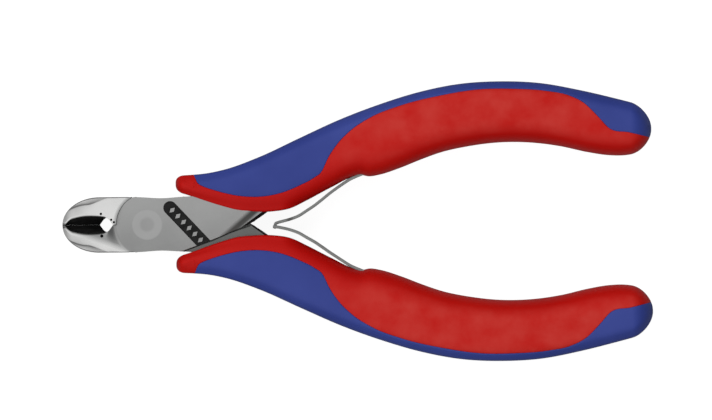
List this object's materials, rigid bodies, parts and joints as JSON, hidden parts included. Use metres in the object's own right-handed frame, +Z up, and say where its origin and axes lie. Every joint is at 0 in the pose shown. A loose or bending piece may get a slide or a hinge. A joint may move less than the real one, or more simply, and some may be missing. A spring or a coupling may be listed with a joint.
{
  "type": "flush cutter",
  "caption": "Oblique flush cutter for electronics work, with lap-jointed steel halves, moulded two-colour grips and a double leaf return spring.",
  "frame": {"origin": "middle of the tool's length on its centre line, on the surface that it lies on; the rivet's axis is at X = -40.92 mm", "axes": "-X is the jaw end, +X the handle end, +Y the side of the handle whose half has the top lap plate, +Z up along the rivet's axis"},
  "size_m": [0.115, 0.0544, 0.0135],
  "materials": {
    "ground_steel": "fine ground and mirror-polished at the jaws",
    "polished_steel": "ground flush with the plates",
    "spring_steel": "bright rolled spring strip",
    "red_moulding": "satin moulded plastic",
    "blue_moulding": "satin, slightly textured moulded plastic"
  },
  "bodies": {
    "upper_handle": {"front_half": "ground_steel", "pivot_rivet": "polished_steel", "upper_grip_core": "red_moulding", "upper_grip_shell": "blue_moulding", "upper_spring_rivet": "spring_steel"},
    "lower_handle": {"rear_half": "ground_steel", "lower_grip_core": "red_moulding", "lower_grip_shell": "blue_moulding", "lower_spring_rivet": "spring_steel"},
    "upper_leaf": {"upper_leaf_spring": "spring_steel"},
    "lower_leaf": {"lower_leaf_spring": "spring_steel"}
  },
  "joints": [
    {"name": "pivot", "type": "hinge", "parent": "upper_handle", "child": "lower_handle", "pos_m": [-0.04092, 0, 0.00675], "axis": [0, 0, -1], "range_deg": [0, 14], "stiffness_Nm_per_rad": 0.9, "springref_deg": 17.19},
    {"name": "upper_leaf_flex", "type": "hinge", "parent": "upper_handle", "child": "upper_leaf", "pos_m": [0.00088, 0.0094, 0.00675], "axis": [0, 0, 1], "range_deg": [0, 12]},
    {"name": "lower_leaf_flex", "type": "hinge", "parent": "lower_handle", "child": "lower_leaf", "pos_m": [0.00088, -0.0094, 0.00675], "axis": [0, 0, -1], "range_deg": [0, 13.5]}
  ],
  "couplings": [
    {"joint": "upper_leaf_flex", "follows": "pivot", "ratio": 0.81},
    {"joint": "lower_leaf_flex", "follows": "pivot", "ratio": 0.915}
  ]
}
